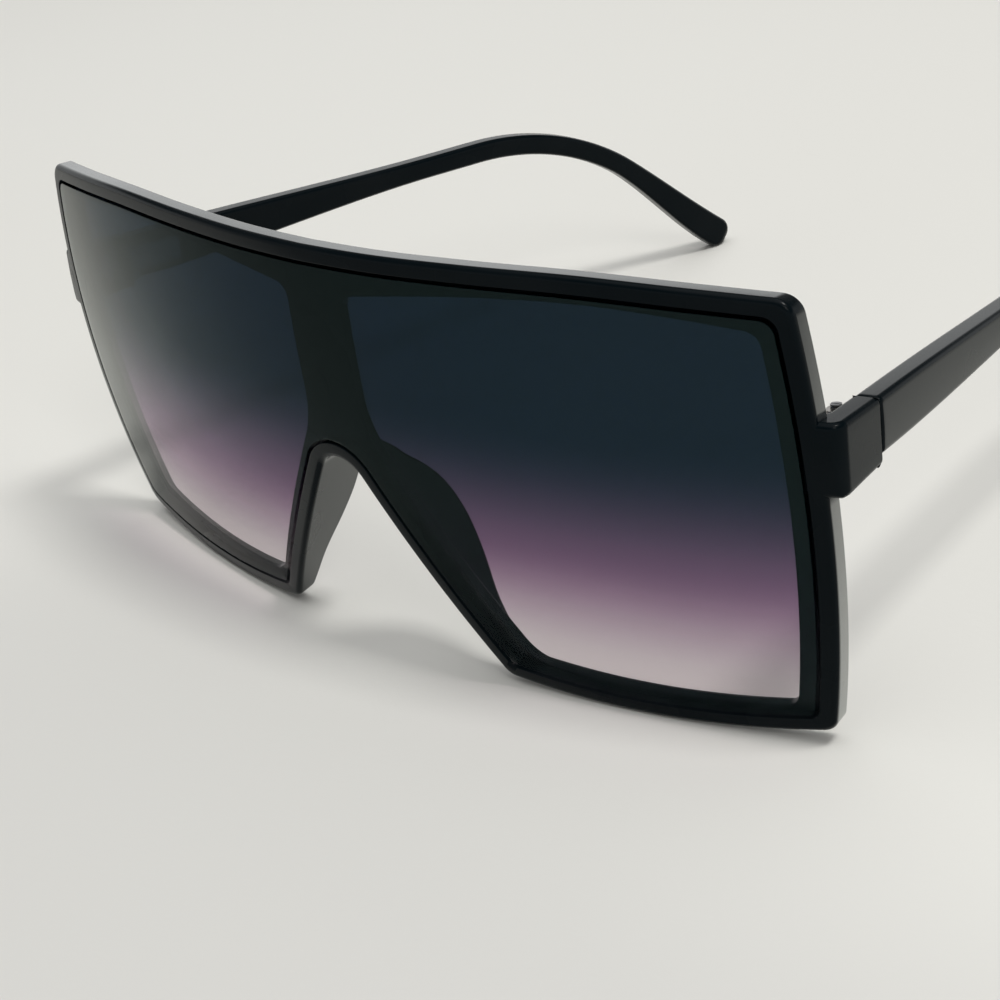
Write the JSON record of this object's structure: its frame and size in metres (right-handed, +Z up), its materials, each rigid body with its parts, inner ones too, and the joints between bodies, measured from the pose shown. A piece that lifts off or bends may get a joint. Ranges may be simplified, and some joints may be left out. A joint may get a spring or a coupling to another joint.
{
  "type": "oversized sunglasses",
  "caption": "Oversized flat-top shield sunglasses with a gradient one-piece lens and folding temples.",
  "frame": {"origin": "on the surface that the sunglasses stand on, midway between the front and the temple tips", "axes": "+X to the wearer's left, +Y from the front to the temple tips, +Z up; the front faces -Y and X = 0 is the plane of symmetry"},
  "size_m": [0.1578, 0.1501, 0.065],
  "materials": {
    "black_plastic": "gloss",
    "tinted_lens": "gradient tint",
    "hinge_steel": "satin",
    "screw_steel": "satin"
  },
  "bodies": {
    "front": {"front_frame": "black_plastic", "shield_lens": "tinted_lens", "front_hinge_leaf_left": "hinge_steel", "front_hinge_leaf_right": "hinge_steel", "hinge_screw_left": "screw_steel", "hinge_screw_right": "screw_steel"},
    "left_temple": {"temple_left": "black_plastic", "temple_hinge_leaf_left": "hinge_steel"},
    "right_temple": {"temple_right": "black_plastic", "temple_hinge_leaf_right": "hinge_steel"}
  },
  "joints": [
    {"name": "left_temple_fold", "type": "hinge", "parent": "front", "child": "left_temple", "pos_m": [0.07229, -0.05364, 0.04281], "axis": [-0.0139, 0.086, 0.9962], "range_deg": [0, 75.5]},
    {"name": "right_temple_fold", "type": "hinge", "parent": "front", "child": "right_temple", "pos_m": [-0.07229, -0.05364, 0.04281], "axis": [-0.0139, -0.086, -0.9962], "range_deg": [0, 80.5]}
  ]
}
